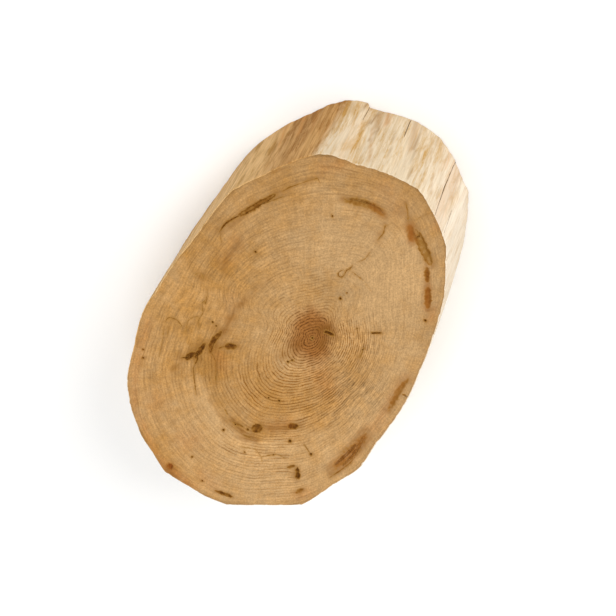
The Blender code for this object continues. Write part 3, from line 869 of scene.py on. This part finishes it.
def side_faces(rows, columns):
    """Four-cornered faces between rows and columns of points that run right round."""
    faces = []
    for low in range(0, (rows - 1) * columns, columns):
        high = low + columns
        for column in range(columns):
            after = (column + 1) % columns
            faces.append((low + column, low + after, high + after, high + column))
    return faces


def side_tints(grain, heights):
    """Where the peeled side is browner past the ridge, partly as painted shade, and where it is golden and
    bleached.
    """
    bearing = np.degrees(np.arctan2(grain[:, 1], grain[:, 0]))
    drop = 1 - np.clip(heights / THICKNESS, 0, 1)
    past_ridge = eased(RIDGE[0] - RIDGE_LEAN[0] * drop, RIDGE[1] - RIDGE_LEAN[1] * drop, bearing)
    front = 1 - eased(*BACK_FROM, bearing)
    # Past the ridge: brown inner bark together with painted shade, faded further round as painted fill light
    return {"browned_and_shaded": past_ridge * (1 - LESS_BROWN_BY * eased(*LESS_BROWN, bearing)) * front,
            "golden": eased(*GOLDEN_FROM, bearing) * front, "bleached": 1 - eased(*BLEACHED_TO, bearing)}


def slice_mesh():
    """The whole slice as points, faces, which material each face has, and the attributes of its points."""
    draw = np.random.default_rng(SEED)
    sections, crack_shades = side_points()
    columns = crack_shades.shape[1]
    side = sections.reshape(-1, 3)
    faces = side_faces(*crack_shades.shape)
    kinds = [1] * len(faces)

    marks = [trough(path, width, depth, middle, edge, draw)
             for path, width, depth, middle, edge, _ in POCKETS.values()]
    marks += [trough(path, width, depth, dark, LINE_EDGE * dark, draw)
              for path, width, depth, dark in LINES.values()]
    marks += [pinhole(*one) for one in SPECKS]
    edge = sections[-1][:, :2]
    places, downs, darks = face_points(edge, marks, FACE_SPACING, whole_line(1), PITH, FACE_MARGIN)
    start = len(side) - columns
    faces += [tuple(start + number for number in triangle) for triangle in triangulated(edge, places)]
    wave = drifts(np.column_stack((places, np.zeros(len(places)))), FACE_DRIFTS) - FACE_SINK
    upper = np.column_stack((places, THICKNESS + wave - downs))

    through = {name: pocket for name, pocket in POCKETS.items() if pocket[5]}
    marks = [trough(at_foot(np.array(path)), width, depth, middle, edge_dark, draw)
             for path, width, depth, middle, edge_dark, _ in through.values()]
    edge = sections[0][:, :2]
    places, downs, low_darks = face_points(
        edge, marks, UNDERSIDE_SPACING, whole_line(0), at_foot(PITH), UNDERSIDE_MARGIN
    )
    start += len(upper)
    for triangle in triangulated(edge, places):
        faces.append(tuple(number if number < columns else start + number for number in reversed(triangle)))
    kinds += [0] * (len(faces) - len(kinds))

    points = np.concatenate((side, upper, np.column_stack((places, downs))))
    grain = grain_through(points[:, :2], np.clip(points[:, 2], 0, THICKNESS))
    values = fields(grain) | side_tints(grain, points[:, 2])
    # On the side this attribute holds the painted shade inside the cracks; on the faces, the darkness of
    # grown-in bark and marks
    values["bark"] = np.concatenate((crack_shades.ravel(), darks, low_darks))
    on_side, under = slice(0, len(side)), slice(len(side) + len(upper), len(points))
    on_top = slice(on_side.stop, under.start)
    dark, rusty = side_streaks(np.column_stack((grain, points[:, 2]))[on_side])
    values["rust"][on_side] = np.maximum(RUST_ON_SIDE * values["rust"][on_side], rusty)
    values["stain"] = np.concatenate((
        dark,
        stain_round(grain[on_top], POCKETS, LINES, SPECKS),
        stain_round(grain[under], through, {}, ()),
    ))
    return points, faces, kinds, grain, values


def in_frame(points):
    """Points in metres, in the frame."""
    return (points + (*GROWN_FROM, 0)) * MM


def linear(code):
    """An sRGB hex colour as linear red, green, blue and 1."""
    parts = [int(code[start:start + 2], 16) / 255 for start in (1, 3, 5)]
    return (*(part / 12.92 if part <= 0.04045 else ((part + 0.055) / 1.055) ** 2.4 for part in parts), 1)


def socket(sockets, key):
    """One of a node's sockets, by its number, identifier or name."""
    if isinstance(key, int):
        return sockets[key]
    return next((one for one in sockets if one.identifier == key), None) or sockets[key]


def add(tree, kind, inputs=None, stops=(), **settings):
    """Adds a node with its settings. Its inputs are values, or the nodes or sockets that link to them. A
    colour ramp has stops, each a position and a hex colour."""
    node = tree.nodes.new("ShaderNode" + kind)
    for name, value in settings.items():
        setattr(node, name, value)
    for key, value in (inputs or {}).items():
        target = socket(node.inputs, key)
        if isinstance(value, bpy.types.Node):
            value = next(one for one in value.outputs if one.enabled)
        if isinstance(value, bpy.types.NodeSocket):
            tree.links.new(value, target)
        else:
            target.default_value = value
    for number, (position, code) in enumerate(stops):
        elements = node.color_ramp.elements
        element = elements[number] if number < len(elements) else elements.new(1)
        element.position = position
        element.color = linear(code)
    return node


def blank(name):
    """A new material, its node tree and its shader."""
    material = bpy.data.materials.new(name)
    material.use_nodes = True
    tree = material.node_tree
    return material, tree, tree.nodes["Principled BSDF"]


def sawn_end_grain():
    """Poplar sawn across the grain and sanded: dull, tan, each ring a pale band that ends in a thin brown
    line, with a red-brown heart and dark bark where the trunk grew round it."""
    material, tree, shader = blank("sawn_end_grain")
    grain = add(tree, "Attribute", attribute_name="grain").outputs["Vector"]
    wood = {}
    for name in ("ring", "ring_showing", "streaked", "heart", "warmth", "shade", "bark", "stain", "rust"):
        wood[name] = add(tree, "Attribute", attribute_name=name).outputs["Fac"]

    # Across the face, seen from the pith: smears round each ring, and rays that run out across them
    away = add(tree, "VectorMath", {0: grain, 1: (*PITH, 0.0)}, operation="SUBTRACT")
    away = add(tree, "VectorMath", {0: away, 1: (1.0, 1.0, 0.0)}, operation="MULTIPLY")
    towards = add(tree, "VectorMath", {0: away}, operation="NORMALIZE")
    reach = add(tree, "VectorMath", {0: away}, operation="LENGTH").outputs["Value"]
    reach = add(tree, "Math", {0: reach, 1: 1 / RAY_LENGTH}, operation="MULTIPLY")
    turned = {}
    for name, times, outward_way in (("smear", SMEARS_ROUND, wood["ring"]), ("rays", RAYS_ROUND, reach)):
        out = add(tree, "CombineXYZ", {"Z": outward_way})
        around = {0: towards, 1: (times, times, 0.0), 2: out}
        turned[name] = add(tree, "VectorMath", around, operation="MULTIPLY_ADD")

    patterns = {}
    for name, place, scale, detail, roughness in (
        ("smear", turned["smear"], 1.2, 4.0, 0.65),
        ("rays", turned["rays"], 1.0, 2.0, 0.5),
        ("wander", grain, 1 / RING_WANDER, 3.0, 0.5),
        ("pores", grain, 1 / PORES, 3.0, 0.7),
        ("clouds", grain, 1 / CLOUDS, 4.0, 0.6),
        ("crust", grain, 1 / CRUST, 4.0, 0.6),
    ):
        noise_inputs = {"Vector": place, "Scale": scale, "Detail": detail, "Roughness": roughness}
        patterns[name] = add(tree, "TexNoise", noise_inputs).outputs["Fac"]

    # Each amount follows a pattern, from the part of the pattern's range that is in use
    amounts = {}
    for name, pattern, *limits in (
        ("broken", "smear", 0.36, 0.62, 0.3, 1.4),
        ("heart_edge", "smear", 0.3, 0.7, -0.14, 0.14),
        ("speckle", "pores", 0.36, 0.64, 0.84, 1.15),
        ("rayed", "rays", 0.3, 0.7, 0.92, 1.07),
        ("uneven", "clouds", 0.35, 0.65, 0.65, 1.35),
        ("ragged", "pores", 0.3, 0.7, 0.45, 1.55),
        ("patchy", "crust", 0.34, 0.66, -0.22, 0.2),
        ("crusted", "crust", 0.34, 0.66, 0.6, 1.3),
        ("dull", "pores", 0.0, 1.0, 0.66, 0.88),
    ):
        amounts[name] = add(tree, "MapRange", {"Value": patterns[pattern], **dict(zip(RANGE, limits))})

    # Rings wander a little, and each year's line is a little stronger or weaker than the next
    wander = add(tree, "Math", {0: patterns["wander"], 1: 0.9, 2: -0.45}, operation="MULTIPLY_ADD")
    number = add(tree, "Math", {0: wood["ring"], 1: wander}, operation="ADD")
    part = add(tree, "Math", {0: number}, operation="FRACT")
    year = add(tree, "Math", {0: number}, operation="FLOOR")
    luck = add(tree, "TexWhiteNoise", {"W": year}, noise_dimensions="1D").outputs["Value"]
    luck = add(tree, "MapRange", {"Value": luck, "To Min": 0.6, "To Max": 1.25})
    line = add(tree, "ValToRGB", {"Fac": part}, stops=(
        (0.0, "#6A6A6A"), (0.13, "#1C1C1C"), (0.38, "#000000"), (0.62, "#787878"), (0.77, "#FFFFFF"),
        (0.9, "#FFFFFF"), (1.0, "#6A6A6A"),
    ))
    for factor in (luck, amounts["broken"]):
        line = add(tree, "Math", {0: line, 1: factor}, operation="MULTIPLY")
    line = add(tree, "Math", {0: line, 1: wood["ring_showing"]}, operation="MULTIPLY", use_clamp=True)

    # The bare wood: tan, warmer in clouds, rusty near bark and red-brown in the heart
    warm = add(tree, "Math", {0: patterns["clouds"], 1: 1.2, 2: -0.36}, operation="MULTIPLY_ADD")
    warm = add(tree, "Math", {0: warm, 1: wood["warmth"]}, operation="ADD", use_clamp=True)
    rusty = add(tree, "Math", {0: wood["rust"], 1: patterns["clouds"]}, operation="MULTIPLY", use_clamp=True)
    hearted = add(tree, "Math", {0: wood["heart"], 1: amounts["heart_edge"]}, operation="ADD")
    hearted = add(tree, "Math", {0: wood["heart"], 1: hearted}, operation="MULTIPLY", use_clamp=True)
    ring_ends = {"Factor_Float": wood["heart"], "A_Color": linear("#8C591C"), "B_Color": linear("#5E3408")}
    ring_end = add(tree, "Mix", ring_ends, data_type="RGBA")
    colour = linear("#B99465")
    for amount, tint in (
        (warm, linear("#B28142")), (rusty, linear("#AE6F36")), (hearted, linear("#96612C")), (line, ring_end),
    ):
        over = {"Factor_Float": amount, "A_Color": colour, "B_Color": tint}
        colour = add(tree, "Mix", over, data_type="RGBA")

    # Pores, rays, smears and shade, a little darker and lighter than the wood
    smeared = add(tree, "Math", {0: patterns["smear"], 1: -0.72, 2: 0.36}, operation="MULTIPLY_ADD")
    smeared = add(tree, "Math", {0: smeared, 1: wood["streaked"], 2: 1.0}, operation="MULTIPLY_ADD")
    dim = add(tree, "Math", {0: wood["shade"], 1: -0.45, 2: 1.0}, operation="MULTIPLY_ADD")
    early = add(tree, "Math", {0: wood["ring_showing"], 1: 0.09, 2: 1.0}, operation="MULTIPLY_ADD")
    level = amounts["speckle"]
    for factor in (dim, amounts["rayed"], smeared, early):
        level = add(tree, "Math", {0: level, 1: factor}, operation="MULTIPLY")
    colour = add(tree, "VectorMath", {0: colour, "Scale": level}, operation="SCALE")

    # Stains, and over them bark, which is crusted and darkest where it is deepest
    stained = add(tree, "Math", {0: wood["stain"], 1: amounts["uneven"]}, operation="MULTIPLY")
    stained = add(tree, "Math", {0: stained, 1: amounts["ragged"]}, operation="MULTIPLY", use_clamp=True)
    marked = add(tree, "Math", {0: wood["bark"], 1: 6.0}, operation="MULTIPLY", use_clamp=True)
    patchy = add(tree, "Math", {0: amounts["patchy"], 1: marked}, operation="MULTIPLY")
    covered = add(tree, "Math", {0: wood["bark"], 1: patchy}, operation="ADD")
    covered = add(tree, "MapRange", {"Value": covered, "From Min": 0.04, "From Max": 0.42})
    darkness = add(tree, "Math", {0: wood["bark"], 1: amounts["crusted"]}, operation="MULTIPLY")
    barked = add(tree, "ValToRGB", {"Fac": darkness}, stops=(
        (0.0, "#AD8246"), (0.3, "#996E31"), (0.65, "#7D4F14"), (1.0, "#573103"),
    ))
    rusted = add(tree, "Math", {0: wood["rust"], 1: 0.55}, operation="MULTIPLY", use_clamp=True)
    rusted_bark = {"Factor_Float": rusted, "A_Color": barked, "B_Color": linear("#95561E")}
    barked = add(tree, "Mix", rusted_bark, data_type="RGBA")
    for amount, tint in ((stained, linear("#7C4E18")), (covered, barked)):
        over = {"Factor_Float": amount, "A_Color": colour, "B_Color": tint}
        colour = add(tree, "Mix", over, data_type="RGBA")
    tree.links.new(socket(colour.outputs, "Result_Color"), shader.inputs["Base Color"])
    tree.links.new(amounts["dull"].outputs["Result"], shader.inputs["Roughness"])
    shader.inputs["IOR"].default_value = WOOD_IOR
    shader.inputs["Specular IOR Level"].default_value = DRY_SHEEN

    # The dense end of each ring stands proud of the sanded face by a hair
    raised = add(tree, "Math", {0: patterns["pores"], 1: 0.7, 2: line}, operation="MULTIPLY_ADD")
    bump = add(tree, "Bump", {"Height": raised, "Strength": 0.6, "Distance": FACE_RELIEF * MM})
    tree.links.new(bump.outputs["Normal"], shader.inputs["Normal"])
    return material


def peeled_side_grain():
    """Poplar peeled of its bark and hewn with a drawknife: cream and dull, with tan streaks where flats cut
    through the rings, and browner where the inner bark is left, darkened further past the ridge with painted
    shade, and painted dark inside the cracks as painted shade."""
    material, tree, shader = blank("peeled_side_grain")
    grain = add(tree, "Attribute", attribute_name="grain").outputs["Vector"]
    wood = {}
    for name in ("ring", "browned_and_shaded", "bleached", "golden", "stain", "rust", "bark"):
        wood[name] = add(tree, "Attribute", attribute_name=name).outputs["Fac"]

    patterns = {}
    for name, (across, along, detail) in SIDE_PATTERNS.items():
        place = add(tree, "Mapping", {"Vector": grain, "Scale": (1 / across, 1 / across, 1 / along)})
        noise_inputs = {"Vector": place, "Scale": 1.0, "Detail": detail, "Roughness": 0.62, "Distortion": 0.5}
        patterns[name] = add(tree, "TexNoise", noise_inputs).outputs["Fac"]

    # What makes the wood tan: the ends of rings, patches, bands, thin streaks and scratches
    wobble = add(tree, "Math", {0: patterns["streak"], 1: 1.6, 2: -0.8}, operation="MULTIPLY_ADD")
    number = add(tree, "Math", {0: wood["ring"], 1: wobble}, operation="ADD")
    part = add(tree, "Math", {0: number}, operation="FRACT")
    line = add(tree, "ValToRGB", {"Fac": part}, stops=(
        (0.0, "#000000"), (0.55, "#404040"), (0.85, "#FFFFFF"), (1.0, "#000000"),
    ))
    height = add(tree, "SeparateXYZ", {"Vector": grain}).outputs["Z"]
    low = add(tree, "MapRange", {"Value": height, "From Max": THICKNESS, "To Min": 0.07, "To Max": -0.04})
    lower_patch = add(tree, "Math", {0: patterns["patch"], 1: low}, operation="ADD")
    middle = add(tree, "Math", {0: patterns["nick"], 1: 0.5}, operation="SUBTRACT")
    middle = add(tree, "Math", {0: middle}, operation="ABSOLUTE")
    amounts = {}
    for name, pattern, *limits in (
        ("tanned", lower_patch, 0.5, 0.66, 0.0, 1.0),
        ("banded", patterns["band"], 0.49, 0.6, 0.0, 1.0),
        ("thin", patterns["streak"], 0.5, 0.6, 0.0, 1.0),
        ("scratch", middle, 0.0, 0.05, 1.0, 0.0),
        ("where", patterns["band"], 0.42, 0.58, 0.0, 1.0),
        ("uneven", patterns["fibre"], 0.3, 0.7, 0.5, 1.4),
        ("level", patterns["fibre"], 0.3, 0.7, 0.88, 1.09),
    ):
        amounts[name] = add(tree, "MapRange", {"Value": pattern, **dict(zip(RANGE, limits))})
    scratch = add(tree, "Math", {0: amounts["scratch"], 1: amounts["where"]}, operation="MULTIPLY")
    tan = 0.0
    for source, strength in (
        (line, 0.10), (amounts["thin"], 0.26), (amounts["banded"], 0.22), (scratch, 0.34),
        (amounts["tanned"], 0.5),
    ):
        tan = add(tree, "Math", {0: source, 1: strength, 2: tan}, operation="MULTIPLY_ADD", use_clamp=True)
    spared = add(tree, "Math", {0: wood["browned_and_shaded"], 1: 0.5, 2: 1.0}, operation="MULTIPLY_ADD")
    spared = add(tree, "Math", {0: wood["bleached"], 1: -0.5, 2: spared}, operation="MULTIPLY_ADD")
    tan = add(tree, "Math", {0: tan, 1: spared}, operation="MULTIPLY")

    # The pale wood, tanned over, browner and darker past the ridge, partly as painted shade, and then rust,
    # stains and the painted shade inside the cracks
    dark = {"Factor_Float": wood["browned_and_shaded"], "A_Color": linear("#B98F4D"), "B_Color": linear("#9A6930")}
    dark = add(tree, "Mix", dark, data_type="RGBA")
    marks = {}
    for name in ("rust", "stain"):
        uneven = {0: wood[name], 1: amounts["uneven"]}
        marks[name] = add(tree, "Math", uneven, operation="MULTIPLY", use_clamp=True)
    colour = linear("#DAC8AC")
    for amount, tint in (
        (wood["bleached"], linear("#E6D8C4")), (wood["golden"], linear("#E8C088")),
        (wood["browned_and_shaded"], linear("#CA9C61")), (tan, dark),
        (marks["rust"], linear("#C48A4A")), (marks["stain"], linear("#8C6530")),
    ):
        over = {"Factor_Float": amount, "A_Color": colour, "B_Color": tint}
        colour = add(tree, "Mix", over, data_type="RGBA")
    colour = add(tree, "VectorMath", {0: colour, "Scale": amounts["level"]}, operation="SCALE")
    # Painted shade inside the cracks: their insides are painted dark brown
    crack_shaded = {"Factor_Float": wood["bark"], "A_Color": colour, "B_Color": linear("#6E5638")}
    colour = add(tree, "Mix", crack_shaded, data_type="RGBA")
    tree.links.new(socket(colour.outputs, "Result_Color"), shader.inputs["Base Color"])
    shader.inputs["Roughness"].default_value = 0.75
    shader.inputs["IOR"].default_value = WOOD_IOR
    shader.inputs["Specular IOR Level"].default_value = DRY_SHEEN
    raised = add(tree, "Math", {0: patterns["streak"], 1: patterns["fibre"]}, operation="ADD")
    bump = add(tree, "Bump", {"Height": raised, "Strength": 0.6, "Distance": FIBRE_RELIEF * MM})
    tree.links.new(bump.outputs["Normal"], shader.inputs["Normal"])
    return material


def wood_slice():
    """The slice as one piece, with the sawn faces in one material and the peeled side in the other."""
    points, faces, kinds, grain, values = slice_mesh()
    mesh = bpy.data.meshes.new("peeled_slice")
    mesh.from_pydata(in_frame(points).tolist(), [], faces)
    mesh.materials.append(sawn_end_grain())
    mesh.materials.append(peeled_side_grain())
    mesh.polygons.foreach_set("material_index", kinds)
    vector = mesh.attributes.new("grain", "FLOAT_VECTOR", "POINT")
    vector.data.foreach_set("vector", np.column_stack((grain, points[:, 2])).astype(np.float32).ravel())
    for name, value in values.items():
        attribute = mesh.attributes.new(name, "FLOAT", "POINT")
        attribute.data.foreach_set("value", value.astype(np.float32))
    mesh.shade_smooth()
    mesh.set_sharp_from_angle(angle=math.radians(SHARP_ANGLE))
    piece = bpy.data.objects.new("peeled_slice", mesh)
    bpy.context.scene.collection.objects.link(piece)
    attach(piece, "root")
    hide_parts("wood_slice")


def floor():
    """A plain white sheet, matt and flat."""
    mesh = bpy.data.meshes.new("floor")
    half, down = FLOOR_HALF, -FLOOR_DROP
    corners = [(-half, -half, down), (half, -half, down), (half, half, down), (-half, half, down)]
    mesh.from_pydata(corners, [], [(0, 1, 2, 3)])
    material, _, shader = blank("white_paper")
    shader.inputs["Base Color"].default_value = linear("#F6F6F5")
    shader.inputs["Roughness"].default_value = 0.9
    shader.inputs["Specular IOR Level"].default_value = 0.2
    mesh.materials.append(material)
    sheet = bpy.data.objects.new("floor", mesh)
    bpy.context.scene.collection.objects.link(sheet)


def sun(name, azimuth, elevation, strength, angle, colour):
    """A soft, even light from a bearing and a height in degrees."""
    lamp = bpy.data.lights.new(name, "SUN")
    lamp.energy = strength
    lamp.angle = math.radians(angle)
    lamp.color = linear(colour)[:3]
    light = bpy.data.objects.new(name, lamp)
    turn, lift = math.radians(azimuth), math.radians(elevation)
    towards = Vector((math.cos(turn) * math.cos(lift), math.sin(turn) * math.cos(lift), math.sin(lift)))
    light.rotation_euler = towards.to_track_quat("Z", "Y").to_euler()
    bpy.context.scene.collection.objects.link(light)


def studio():
    """Two broad lights, one low over the swollen end and one nearly overhead, in a pale room."""
    sun("key", azimuth=-28, elevation=26, strength=1.7, angle=40, colour="#FFFDF8")
    sun("overhead", azimuth=150, elevation=80, strength=1.82, angle=70, colour="#FFFFFF")
    world = bpy.data.worlds.new("studio")
    world.use_nodes = True
    background = world.node_tree.nodes["Background"]
    background.inputs["Color"].default_value = linear("#FFFFFF")
    background.inputs["Strength"].default_value = 0.42
    bpy.context.scene.world = world
    bpy.context.scene.view_settings.view_transform = "Standard"


def camera():
    """The photograph's view: from above the swollen end, rolled so that the slice's long axis leans."""
    lens = bpy.data.cameras.new("camera")
    lens.sensor_width = 36
    lens.lens = 70.71
    lens.clip_start = 0.05
    lens.clip_end = 50
    view = bpy.data.objects.new("camera", lens)
    right, up = Vector(CAMERA_RIGHT), Vector(CAMERA_UP)
    turned = Matrix((right, up, right.cross(up))).transposed().to_4x4()
    view.matrix_world = Matrix.Translation(CAMERA_PLACE) @ turned
    bpy.context.scene.collection.objects.link(view)
    bpy.context.scene.camera = view


wood_slice()
floor()
studio()
camera()
